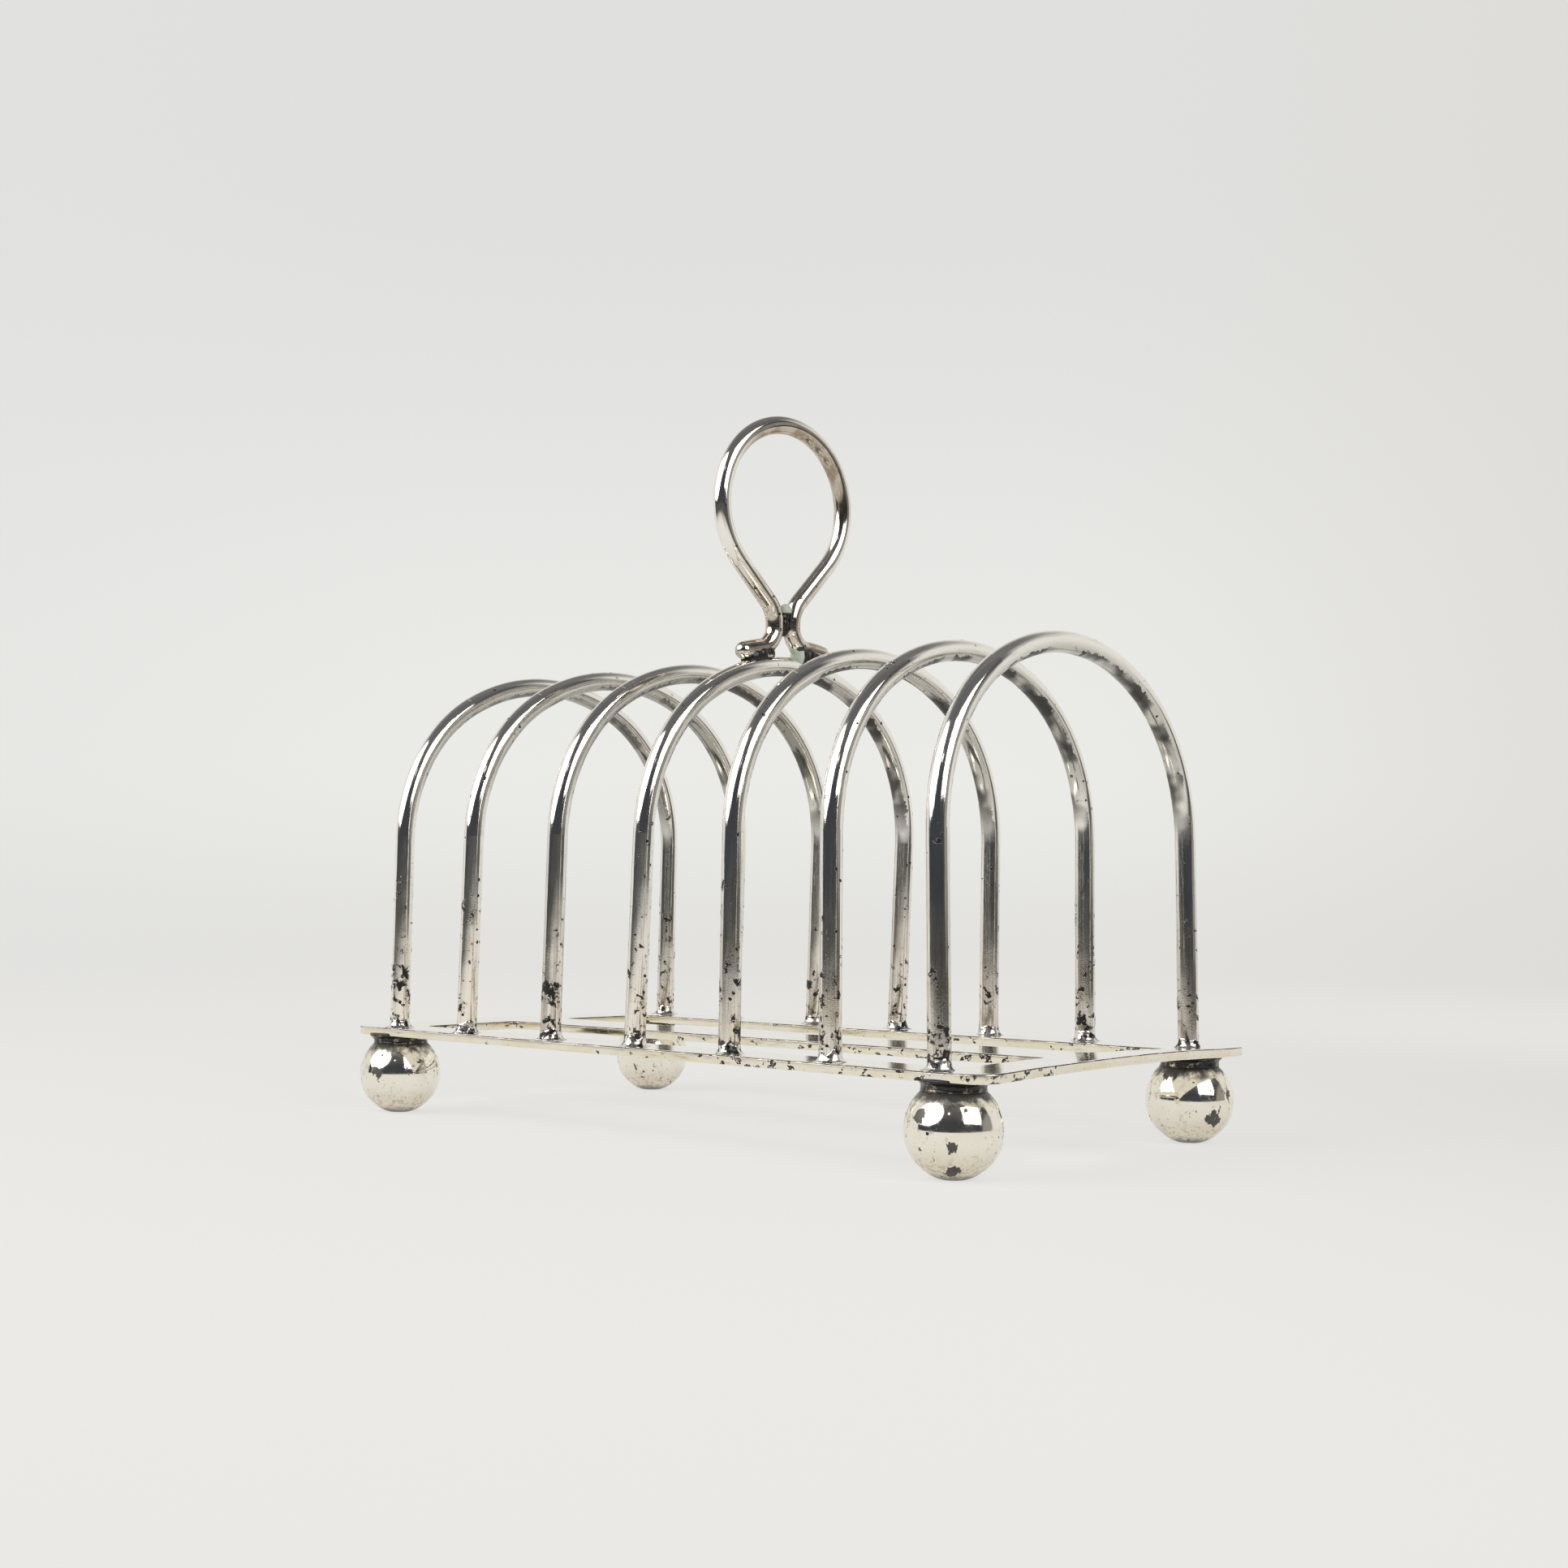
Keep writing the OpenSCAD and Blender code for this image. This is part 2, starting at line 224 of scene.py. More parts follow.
def worn_silver(
    g,
    where,
    lines,
    seed,
    film_tint,
    extra_dark=0.0,
    density=0.3,
    film=0.5,
    depth=0.006,
    peel=0.0,
    wobble=0.10,
    stain_and_shade=0.0,
    stain_tint=GREY_BROWN,
    smooth=0.06,
):
    """The finish of all the plated pieces. where are coordinates in metres, lines is a vector for
    the draw lines, extra_dark is the black that belongs to this piece, tarnish and on the balls a
    painted contact shade, density is how spotted it is, film how strong its warm film is,
    stain_and_shade how much translucent tarnish lies on it, with painted dark reflection on the
    hoops' legs and painted shade low on the balls, and smooth its lowest roughness. depth, peel and
    wobble are the heights in mm of the draw lines, the fine pitting and the slow unevenness."""
    here = g.scaled(where, (1, 1, 1), (seed * 0.37, seed * 0.21, seed * 0.11))
    broad = g.noise(here, 75, 2, 0.5)
    medium = g.noise(here, 620, 5, 0.66, 0.4)
    fine = g.noise(here, 2600, 3, 0.6)

    # Black patches with ragged edges, gathered in clusters, and a brown halo round them
    cluster = g.math("MULTIPLY", g.math("SUBTRACT", g.noise(here, 130, 2, 0.5), 0.5), 0.45)
    wear = g.math("ADD", g.math("MULTIPLY", density, 0.16), cluster)
    level = g.math("ADD", medium, wear)
    patches = g.ramp(level, 0.742, 0.752)
    halo = g.math("MULTIPLY", g.ramp(level, 0.69, 0.75), 0.35)

    # Small black pits: a share of the cells get one, and some of those are rings
    ragged = g.shifted(here, 3000, 0.35 * MM)
    distance, shade = g.cells(ragged, 1050)
    red, green, blue = g.split(shade)
    outer = g.math("MULTIPLY", red, 0.36)
    inner = g.math("MULTIPLY", g.math("GREATER_THAN", blue, 0.55), 0.16)
    chance = g.math("ADD", green, g.math("MULTIPLY", wear, 1.7))
    has_pit = g.math("GREATER_THAN", chance, 0.950)
    within = g.math("LESS_THAN", g.math("SUBTRACT", distance, outer), 0.0)
    in_pit = g.math("MULTIPLY", within, g.math("GREATER_THAN", distance, inner))
    pits = g.math("MULTIPLY", in_pit, has_pit)
    dark = g.math("MAXIMUM", g.math("MAXIMUM", patches, pits), extra_dark, clamp=True)

    # Draw lines along the wire, with the deepest ones scored brown
    drawn = g.noise(lines, 1.0, 3, 0.65)
    hair = g.noise(g.scaled(lines, (2.7, 2.7, 1.6), (3.3, 1.1, 7.7)), 1.0, 2, 0.6)
    scored = g.math("MULTIPLY", g.ramp(drawn, 0.58, 0.70), 0.30)

    # Silver, film, stain and painted shade, tarnish and black, in this order
    hazy = g.ramp(g.noise(here, 160, 2, 0.5), 0.40, 0.75)
    uneven = g.math("MULTIPLY_ADD", hazy, 0.5, g.math("MULTIPLY_ADD", fine, 0.2, 0.4))
    clean = g.mix(g.math("MULTIPLY", uneven, film, clamp=True), BRIGHT, film_tint)
    stained_and_shaded = g.mix(stain_and_shade, clean, stain_tint)
    tarnished = g.mix(g.math("MAXIMUM", halo, scored), stained_and_shaded, BROWN)
    base = g.mix(dark, tarnished, BLACK)
    metallic = g.math("SUBTRACT", 1.0, g.math("MULTIPLY", dark, 0.55))
    polish = g.ramp(drawn, 0.35, 0.70, smooth, smooth + 0.09)
    roughness = g.math("ADD", polish, g.math("MULTIPLY", dark, 0.30))

    grain = g.math("ADD", drawn, g.math("MULTIPLY", hair, 0.45))
    height = g.math("SUBTRACT", g.math("MULTIPLY", grain, depth), g.math("MULTIPLY", dark, 0.012))
    if peel:
        pitted = g.noise(here, 5200, 2, 0.6)
        height = g.math("ADD", height, g.math("MULTIPLY", pitted, peel))
    normal = g.bump(g.math("ADD", height, g.math("MULTIPLY", broad, wobble)), 1 * MM)
    return g.finish(Base_Color=base, Metallic=metallic, Roughness=roughness, Normal=normal)


def wire_place(g, y, z):
    """Where a point of a hoop lies: how far outside the wire's centre line it is, and how far along
    the wire from the middle of the crown, negative to the front."""
    side = g.math("ABSOLUTE", y)
    dy, dz = g.math("SUBTRACT", side, SHOULDER_Y), g.math("SUBTRACT", z, LEG_HEIGHT)
    up = g.math("SUBTRACT", z, CROWN_CENTRE_Z)
    above = g.math("GREATER_THAN", dz, 0.0)
    on_crown = g.math("LESS_THAN", g.math("MULTIPLY", dy, math.tan(SHOULDER_ANGLE)), dz)
    leg = g.math("SUBTRACT", side, LEG_Y)
    shoulder = g.math("SUBTRACT", length_of(g, dy, dz), SHOULDER_R)
    crown = g.math("SUBTRACT", length_of(g, y, up), CROWN_R)
    out = choose(g, above, leg, choose(g, on_crown, shoulder, crown))
    round_shoulder = g.math("MULTIPLY_ADD", g.math("ARCTAN2", dz, dy), SHOULDER_R, LEG_HEIGHT)
    crown_turn = g.math("SUBTRACT", g.math("ARCTAN2", up, side), SHOULDER_ANGLE)
    round_crown = g.math("MULTIPLY_ADD", crown_turn, CROWN_R, TO_CROWN)
    climbed = choose(g, above, z, choose(g, on_crown, round_shoulder, round_crown))
    along = g.math("MULTIPLY", g.math("SIGN", y), g.math("SUBTRACT", HALF_WIRE, climbed))
    return out, along


def length_of(g, a, b):
    return g.math("SQRT", g.math("ADD", g.math("MULTIPLY", a, a), g.math("MULTIPLY", b, b)))


def choose(g, factor, if_zero, if_one):
    return g.math("ADD", if_zero, g.math("MULTIPLY", factor, g.math("SUBTRACT", if_one, if_zero)))


def hoop_frame(g, k):
    return g.local(g.coordinates, (HOOP_X[k - 1], 0, PLATE_TOP), (0, HOOP_SLANT[k - 1], 0))


def hoop_material(k):
    g = material_graph(f"silver_hoop_{k}")
    x, y, z = g.split(hoop_frame(g, k))
    out, along = wire_place(g, y, z)
    wire = g.join(x, out, along)
    lines = g.scaled(wire, (3200, 3200, 120), (k * 3.1, 0, k * 1.7))
    front = g.math("LESS_THAN", y, 0.0)

    # Black at the feet of the legs, and along the inner side of the crown
    rough_edge = g.noise(g.coordinates, 700, 4, 0.65)
    ragged = g.math("MULTIPLY", rough_edge, 9 * MM)
    reach = choose(g, front, 5.0 * MM, (4.4 + BASE_TARNISH[k - 1]) * MM)
    above_foot = g.math("SUBTRACT", reach, g.math("ADD", z, ragged))
    base = g.ramp(above_foot, -0.08 * MM, 0.08 * MM, 0.0, 0.93)
    patchy = g.noise(g.scaled(wire, (1, 1, 1), (0, 0, k * 0.5)), 110, 2, 0.5)
    patchy = g.ramp(patchy, 0.44, 0.56)
    inner_edge = g.math("MULTIPLY_ADD", rough_edge, 2.2 * MM, out)
    inner = g.ramp(inner_edge, 0.0, 0.12 * MM, INNER_BLACK[k - 1], 0.0)
    inner = g.math("MULTIPLY", inner, g.math("MULTIPLY", g.ramp(z, 34 * MM, 46 * MM), patchy))

    # Grey down the legs in streaks, a painted dark reflection of the room, and stain inside the crown
    streaks = g.noise(g.scaled(wire, (900, 900, 45), (k, k, 0)), 1.0, 4, 0.7)
    streaks = g.ramp(streaks, 0.38, 0.60)
    leg_reflection_grey = choose(g, front, 0.45, LEG_REFLECTION_GREY[k - 1])
    legs = g.math("MULTIPLY", g.ramp(z, 20 * MM, 42 * MM, 1.0, 0.15), leg_reflection_grey)
    legs = g.math("MULTIPLY", legs, g.math("MULTIPLY_ADD", streaks, 0.75, 0.1))
    inside = g.ramp(out, -1.3 * MM, 0.6 * MM, INNER_STAIN[k - 1], 0.0)
    inside = g.math("MULTIPLY", inside, g.ramp(z, 38 * MM, 52 * MM))

    return worn_silver(
        g,
        wire,
        lines,
        seed=k,
        film_tint=HOOP_FILM,
        extra_dark=g.math("MAXIMUM", base, inner),
        density=g.ramp(z, 4 * MM, 44 * MM, 1.0, 0.08),
        film=g.ramp(z, 6 * MM, 30 * MM, 0.95, 0.30),
        depth=0.010,
        peel=0.004,
        wobble=0.08,
        stain_and_shade=g.math("MAXIMUM", legs, inside, clamp=True),
        smooth=0.03,
    )


def handle_frame(g):
    slid = g.local(hoop_frame(g, HANDLE_HOOP), (0, 0, CROWN_CENTRE_Z), (HANDLE_SLIDE, 0, 0))
    return g.local(slid, (0, 0, CROWN_R), (0, 0, HANDLE_TWIST))


def handle_material():
    g = material_graph("silver_ring_handle")
    x, y, z = g.split(handle_frame(g))
    up = g.math("SUBTRACT", z, RING_RISE)
    out = g.math("SUBTRACT", length_of(g, y, up), RING_R)
    turn = g.math("MULTIPLY", g.math("ARCTAN2", y, up), RING_R)
    ring = g.join(x, out, turn)
    lines = g.scaled(ring, (1500, 1500, 60))
    side = g.math("ABSOLUTE", y)

    # Brown inside the ring and low on both legs of the handle
    inside = g.ramp(out, -1.2 * MM, 1.4 * MM, 1.0, 0.0)
    high = g.ramp(z, 24 * MM, 31 * MM, 0.15, 1.0)
    right = g.math("MULTIPLY", g.ramp(y, -13 * MM, -6 * MM), high)
    cloudy = g.ramp(g.noise(g.coordinates, 330, 4, 0.6, 0.5), 0.38, 0.62, 0.55, 1.0)
    within_ring = g.math("MULTIPLY", g.math("MULTIPLY", inside, right), cloudy)
    low = g.math("MULTIPLY", g.ramp(z, 8 * MM, 24 * MM, 0.75, 0.0), cloudy)

    # Soot by the solder: under the splayed feet, and between the legs of the neck
    rough_edge = g.math("MULTIPLY", g.noise(g.coordinates, 380, 2, 0.5), 3.2 * MM)
    under = g.ramp(g.math("ADD", z, rough_edge), 4.9 * MM, 5.1 * MM, 0.92, 0.0)
    under = g.math("MULTIPLY", under, g.ramp(side, 6.4 * MM, 7.4 * MM, 1.0, 0.0))
    between = g.ramp(g.math("ADD", side, rough_edge), 2.1 * MM, 2.3 * MM, 0.92, 0.0)
    between = g.math("MULTIPLY", between, g.ramp(z, 10.2 * MM, 11.0 * MM, 1.0, 0.0))

    return worn_silver(
        g,
        ring,
        lines,
        seed=9.3,
        film_tint=HANDLE_FILM,
        extra_dark=g.math("MAXIMUM", under, between),
        density=g.ramp(z, 10 * MM, 22 * MM, 0.5, -0.5),
        film=0.5,
        depth=0.0008,
        wobble=0.05,
        stain_and_shade=g.math("MAXIMUM", within_ring, low),
        stain_tint=HANDLE_STAIN,
        smooth=0.05,
    )


def plate_material():
    g = material_graph("silver_plate")
    x, y, _ = g.split(g.coordinates)
    steep, _, upright = g.split(g.facing)
    lines = g.scaled(g.coordinates, (140, 1800, 1800))
    edge = g.ramp(g.math("ABSOLUTE", upright), 0.55, 0.80, 1.0, 0.0)
    end = g.ramp(steep, 0.5, 0.8)

    # Black marks on the edges: more to the right, and on the right end, near the front corner
    to_corner = g.ramp(y, -14 * MM, -24 * MM)
    to_right = g.ramp(x, -60 * MM, 72 * MM, -0.055, 0.065)
    more = choose(g, end, to_right, g.math("MULTIPLY_ADD", to_corner, 0.17, -0.10))
    mark = g.noise(g.scaled(g.coordinates, (1, 1, 1.6)), 470, 3, 0.62, 0.3)
    level = g.math("ADD", mark, more)
    ragged = g.ramp(level, 0.625, 0.637)
    worn_through = g.ramp(level, 0.70, 0.71, 1.0, 0.35)
    marks = g.math("MULTIPLY", edge, g.math("MULTIPLY", ragged, worn_through))

    # A dark line along the upper rim
    rim = g.ramp(g.noise(g.coordinates, 300, 3, 0.6), 0.35, 0.55, 0.55, 1.0)
    not_top = g.ramp(upright, 0.70, 0.85, 1.0, 0.0)
    on_rim = g.math("MULTIPLY", g.ramp(upright, 0.12, 0.30), not_top)

    return worn_silver(
        g,
        g.coordinates,
        lines,
        seed=4.4,
        film_tint=PLATE_FILM,
        extra_dark=g.math("MAXIMUM", marks, g.math("MULTIPLY", on_rim, rim)),
        density=-0.9,
        film=choose(g, edge, 0.35, 1.3),
        depth=0.0006,
        wobble=0.02,
        smooth=0.08,
    )


def ball_material(corner, seed):
    g = material_graph(f"silver_ball_{corner}")
    _, _, z = g.split(g.coordinates)
    lines = g.scaled(g.coordinates, (900, 900, 900))

    # Black round the contact with the table, a painted contact shade, and black round the solder
    bottom = g.math("ADD", z, g.math("MULTIPLY", g.noise(g.coordinates, 900), 1.6 * MM))
    low = g.ramp(bottom, 1.0 * MM, 2.3 * MM, 0.85, 0.0)
    neck = g.math("MULTIPLY", g.noise(g.coordinates, 420, 4, 0.62), 5.0 * MM)
    top = g.ramp(g.math("ADD", z, neck), 13.7 * MM, 15.2 * MM, 0.0, 0.93)

    # Black patches: some strewn about, and the large ones in BALL_PATCHES
    mark = g.noise(g.scaled(g.coordinates, (1.3, 1.3, 0.9), (seed, 0, 0)), 520, 4, 0.6, 0.6)
    patch = g.ramp(mark, 0.655, 0.672, 0.0, 0.9)
    low_corner, high_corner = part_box(f"foot_{corner}")
    centre = (low_corner + high_corner) / 2
    for direction, size in BALL_PATCHES.get(corner, ()):
        place = centre + Vector(direction).normalized() * BALL_R
        offset = g.length(g.scaled(g.coordinates, (1, 1, 1), -place))
        ragged = g.math("MULTIPLY_ADD", mark, -5.2 * MM, offset)
        large = g.ramp(ragged, (size - 2.7) * MM, (size - 2.55) * MM, 0.92, 0.0)
        patch = g.math("MAXIMUM", patch, large)

    # Below: painted shade that darkens towards the table, speckled with stain. Above: clouded stain
    speckled = g.ramp(g.noise(g.coordinates, 1500, 3, 0.6), 0.50, 0.62, 0.0, 0.5)
    speckled = g.math("MULTIPLY", speckled, g.ramp(z, 2 * MM, 5 * MM, 1.0, 0.0))
    shade_and_speckles = g.math("ADD", g.ramp(z, 1.2 * MM, 6.5 * MM, 0.42, 0.0), speckled)
    upper = g.math("MULTIPLY", g.ramp(mark, 0.52, 0.60), g.ramp(z, 9 * MM, 12 * MM, 0.0, 0.8))

    return worn_silver(
        g,
        g.coordinates,
        lines,
        seed=seed,
        film_tint=BALL_FILM,
        extra_dark=g.math("MAXIMUM", g.math("MAXIMUM", low, top), patch),
        density=0.0,
        film=1.3,
        depth=0.0010,
        peel=0.0012,
        wobble=0.09,
        stain_and_shade=g.math("MAXIMUM", shade_and_speckles, upper),
        stain_tint=BALL_STAIN_AND_SHADE,
        smooth=0.05,
    )


def solder_material(name, seed, tint, share, scale=800, lumpy=0.10, verdigris=False):
    """Solder: share is how much of it shows as metal, scale how many patches there are in a metre,
    and lumpy the height of its unevenness in mm. verdigris puts pale green on it in the neck of
    the handle."""
    g = material_graph(name)
    here = g.scaled(g.coordinates, (1, 1, 1), (seed, 0, 0))
    bare_from = 0.66 - 0.3 * share
    blotch = g.ramp(g.noise(here, scale, 4, 0.58), bare_from, bare_from + 0.04)
    fine = g.noise(here, 3500, 3, 0.6)
    base = g.mix(blotch, BLACK, tint)
    roughness = g.math("ADD", 0.10, g.math("MULTIPLY", fine, 0.2))
    metallic = g.ramp(blotch, 0.0, 1.0, 0.4, 1.0)
    if verdigris:
        _, y, z = g.split(handle_frame(g))
        ragged = g.math("MULTIPLY_ADD", g.noise(here, 900, 3, 0.6), 1.2 * MM, y)
        by_neck = g.ramp(ragged, 4.3 * MM, 4.6 * MM, 1.0, 0.0)
        inside = g.math("MULTIPLY", by_neck, g.math("GREATER_THAN", y, 0.4 * MM))
        inside = g.math("MULTIPLY", inside, g.math("LESS_THAN", z, 6.3 * MM))
        green = g.math("MAXIMUM", inside, g.ramp(z, 9.7 * MM, 10.0 * MM))
        base = g.mix(green, base, g.mix(fine, VERDIGRIS_DARK, VERDIGRIS_PALE))
        metallic = g.math("MULTIPLY", metallic, g.math("SUBTRACT", 1.0, green))
        roughness = g.math("ADD", roughness, g.math("MULTIPLY", green, 0.25))
    normal = g.bump(g.noise(here, 1.6 * scale, 2, 0.5), lumpy * MM, 1.0)
    return g.finish(Base_Color=base, Metallic=metallic, Roughness=roughness, Normal=normal)


def paint(piece, material):
    for slot in piece.material_slots:
        slot.link = "OBJECT"
        slot.material = material


# Pieces made here


def piece_from(name, build, material, slot, *stands_for):
    mesh = bpy.data.meshes.new(name)
    bmesh.ops.recalc_face_normals(build, faces=build.faces)
    build.to_mesh(mesh)
    build.free()
    for polygon in mesh.polygons:
        polygon.use_smooth = True
    mesh.materials.append(material)
    made = bpy.data.objects.new(name, mesh)
    bpy.context.scene.collection.objects.link(made)
    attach(made, "root")
    if stands_for:
        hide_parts(*stands_for)
    return made


def revolve(build, profile, place, segments=64):
    """A closed ring: profile(angle) gives its section as [(radius, z), ...], and place moves a
    point to where the ring belongs."""
    rings = []
    for index in range(segments):
        angle = 2 * math.pi * index / segments
        ring = []
        for radius, z in profile(angle):
            point = Vector((radius * math.cos(angle), radius * math.sin(angle), z))
            ring.append(build.verts.new(place(point)))
        rings.append(ring)
    for index, ring in enumerate(rings):
        following = rings[(index + 1) % segments]
        for j in range(len(ring)):
            k = (j + 1) % len(ring)
            build.faces.new((ring[j], following[j], following[k], ring[k]))


def lumps(angle, seed, size=1.0):
    """A smooth value round a ring, about -1 to 1."""
    return 2 * noise.noise(Vector((math.cos(angle) * size, math.sin(angle) * size, seed * 7.31)))


# Solder fillets round the legs: steps in the curve, how far they reach into the wire and the plate,
# and the mean and the swing of how high they climb and how far they spread, in metres
FILLET_STEPS = 9
INTO_WIRE = 0.2 * MM
INTO_PLATE = 0.1 * MM
CLIMB, CLIMB_SWING = 1.7 * MM, 0.5 * MM
SPREAD, SPREAD_SWING = 0.95 * MM, 0.35 * MM


def make_leg_solder(k):
    """The two fillets at the foot of hoop k: thin hollow skirts of silver that climb the wire."""
    build = bmesh.new()
    lean = math.tan(HOOP_SLANT[k - 1])
    for side in (-1, 1):
        seed = k * 2 + side * 0.5

        def profile(angle):
            high = CLIMB + CLIMB_SWING * lumps(angle, seed)
            wide = SPREAD + SPREAD_SWING * lumps(angle, seed + 50)
            points = [(HOOP_WIRE_R - INTO_WIRE, high + 0.05 * MM)]
            for step in range(FILLET_STEPS + 1):
                turn = math.pi / 2 * step / FILLET_STEPS
                radius = HOOP_WIRE_R + wide - wide * math.cos(turn) ** 0.8
                points.append((radius, high - (high - 0.02 * MM) * math.sin(turn)))
            points.append((HOOP_WIRE_R + 0.9 * wide, -INTO_PLATE))
            points.append((HOOP_WIRE_R - INTO_WIRE, -INTO_PLATE))
            return points

        def place(point):
            return point + Vector((HOOP_X[k - 1] + point.z * lean, side * LEG_Y, PLATE_TOP))

        revolve(build, profile, place)
    material = solder_material(f"solder_leg_{k}", k, LEG_SOLDER, 0.72)
    return piece_from(f"leg_solder_{k}", build, material, "leg_solder", f"hoop_solder_{k}")


# The solder between ball and plate, as radius and height in mm: its outer side from the top down,
# and its inner side, which the ball hides, from the bottom up
COLLAR_SECTION = [
    (5.75, 15.1),
    (5.7, 14.67),
    (5.38, 14.45),
    (5.14, 14.2),
    (5.03, 13.95),
    (5.0, 13.7),
    (5.05, 13.45),
    (5.15, 13.2),
]
COLLAR_INSIDE = [(4.6, 13.0), (3.0, 13.8), (3.0, 15.1)]
COLLAR_SWELL = 0.22


def make_ball_solder(corner, index):
    """The dark neck of solder between a ball and the plate."""
    build = bmesh.new()
    low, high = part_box(f"foot_{corner}")
    centre = (low + high) / 2

    def profile(angle):
        points = []
        for radius, z in COLLAR_SECTION:
            swell = COLLAR_SWELL * lumps(angle, index * 3 + z * 0.06, 1.3)
            swell *= min(1, z - COLLAR_SECTION[-1][1])
            points.append(((radius + swell) * MM, z * MM))
        return points + [(radius * MM, z * MM) for radius, z in COLLAR_INSIDE]

    def place(point):
        return point + Vector((centre.x, centre.y, 0))

    revolve(build, profile, place)
    material = solder_material(f"solder_ball_{corner}", 30 + index, BALL_SOLDER, 0.35)
    name, stands_for = f"ball_solder_{corner}", f"foot_solder_{corner}"
    return piece_from(name, build, material, "foot_solder", stands_for)


PLATE_SOFTNESS = 0.28 * MM
LEG_HOLE_REACH = 2.6 * MM
BOW = 0.45 * MM
BOW_CENTRE_Y = 5 * MM
BOW_REACH = 31 * MM
CURL_FROM = 61 * MM
PLATE_END = 76.5 * MM
# The cuts that let the plate bend, in mm: lines along it, and across its right end
CUTS_Y = [3.2 * step for step in range(-11, 12)]
CUTS_X = [62 + 2 * step for step in range(8)]


def make_plate():
    """The plate with softened edges, bowed up between its long sides, its right end curled up."""
    build = bmesh.new()
    build.from_mesh(nodes["base_plate"].data)
    bmesh.ops.remove_doubles(build, verts=build.verts, dist=0.002 * MM)
    flat = math.radians(1)
    bmesh.ops.dissolve_limit(build, angle_limit=flat, verts=build.verts, edges=build.edges)
    legs = [(x, side * LEG_Y) for x in HOOP_X for side in (-1, 1)]

    def is_rim(edge):
        if len(edge.link_faces) != 2 or edge.calc_face_angle() <= math.radians(60):
            return False
        middle = (edge.verts[0].co + edge.verts[1].co) / 2
        return all(math.hypot(middle.x - x, middle.y - y) >= LEG_HOLE_REACH for x, y in legs)

    bmesh.ops.bevel(
        build,
        geom=[edge for edge in build.edges if is_rim(edge)],
        offset=PLATE_SOFTNESS,
        segments=3,
        profile=0.5,
        affect="EDGES",
        clamp_overlap=False,
    )
    cuts = [((0, y, 0), (0, 1, 0)) for y in CUTS_Y] + [((x, 0, 0), (1, 0, 0)) for x in CUTS_X]
    for through, normal in cuts:
        bmesh.ops.bisect_plane(
            build,
            geom=build.verts[:] + build.edges[:] + build.faces[:],
            dist=0.001 * MM,
            plane_co=Vector(through) * MM,
            plane_no=normal,
        )
    for vertex in build.verts:
        vertex.co.z += plate_bow(vertex.co.x, vertex.co.y)
    plate = piece_from("plate", build, plate_material(), "plate_silver", "base_plate")
    plate.data.set_sharp_from_angle(angle=math.radians(50))
    weighted = plate.modifiers.new("weighted_normals", "WEIGHTED_NORMAL")
    weighted.keep_sharp = True


def plate_bow(x, y):
    """How far the plate is bent up at a point. The curl is least at its front corner."""
    reach = BOW_REACH + (BOW_CENTRE_Y if y < BOW_CENTRE_Y else -BOW_CENTRE_Y)
    across = max(0.0, 1 - ((y - BOW_CENTRE_Y) / reach) ** 2) ** 1.3
    bow = BOW * across * (0.6 + 0.4 * x / PLATE_END)
    curl = max(0.0, (x - CURL_FROM) / (PLATE_END - CURL_FROM)) ** 1.6
    off_corner = min(1.0, max(0.0, (y + 38 * MM) / (11 * MM)))
    to_back = min(1.0, max(0.0, y / (40 * MM) + 0.5))
    lift = (0.12 + 0.38 * off_corner + 0.25 * to_back) * MM
    return curl * lift + bow


HANDLE_FRAME = (
    Matrix.Translation((HOOP_X[HANDLE_HOOP - 1], 0, PLATE_TOP))
    @ Matrix.Rotation(HOOP_SLANT[HANDLE_HOOP - 1], 4, "Y")
    @ Matrix.Translation((0, 0, CROWN_CENTRE_Z))
    @ Matrix.Rotation(HANDLE_SLIDE, 4, "X")
    @ Matrix.Translation((0, 0, CROWN_R))
    @ Matrix.Rotation(HANDLE_TWIST, 4, "Z")
)


# Drops of solder in the handle's frame, as centre and radius in mm. Under each splayed foot a row
# of them follows hoop 4's crown, by angles in degrees.
FOOT_DROPS = 6
FOOT_FIRST_DROP = 5.7
FOOT_DROP_STEP = 0.95
FOOT_DROP_R = (1.9, 1.8, 2.05, 1.95)
FOOT_DROP_PATH = 43.85
VERDIGRIS_DROPS = [((0, 2.7, 3.2), 0.95), ((0, 2.2, 4.2), 0.85), ((0, 1.7, 5.3), 0.75)]
NECK_DROPS = [
    ((0, 0.1, 6.6), 1.15),
    ((0, -0.1, 7.8), 1.25),
    ((0, 0, 9.0), 1.2),
    ((0.4, 0.2, 10.4), 1.2),
]


def make_blob(part, drops, seed, share):
    """Solder that has run together from drops."""
    build = bmesh.new()
    for centre, radius in drops:
        place = HANDLE_FRAME @ Matrix.Translation(Vector(centre) * MM)
        bmesh.ops.create_icosphere(build, subdivisions=3, radius=radius * MM, matrix=place)
    for vertex in build.verts:
        vertex.co += 0.22 * MM * noise.noise_vector(vertex.co / (1.8 * MM))
    name = f"handle_{part}"
    material = solder_material(
        f"solder_{name}", seed, HANDLE_SOLDER, share, scale=420, lumpy=0.03, verdigris=True
    )
    blob = piece_from(f"{name}_blob", build, material, "handle_solder", f"{name}_solder")
    remesh = blob.modifiers.new("run_together", "REMESH")
    remesh.mode = "VOXEL"
    remesh.voxel_size = 0.16 * MM
    remesh.use_smooth_shade = True
    relax = blob.modifiers.new("relax", "SMOOTH")
    relax.factor = 0.5
    relax.iterations = 10


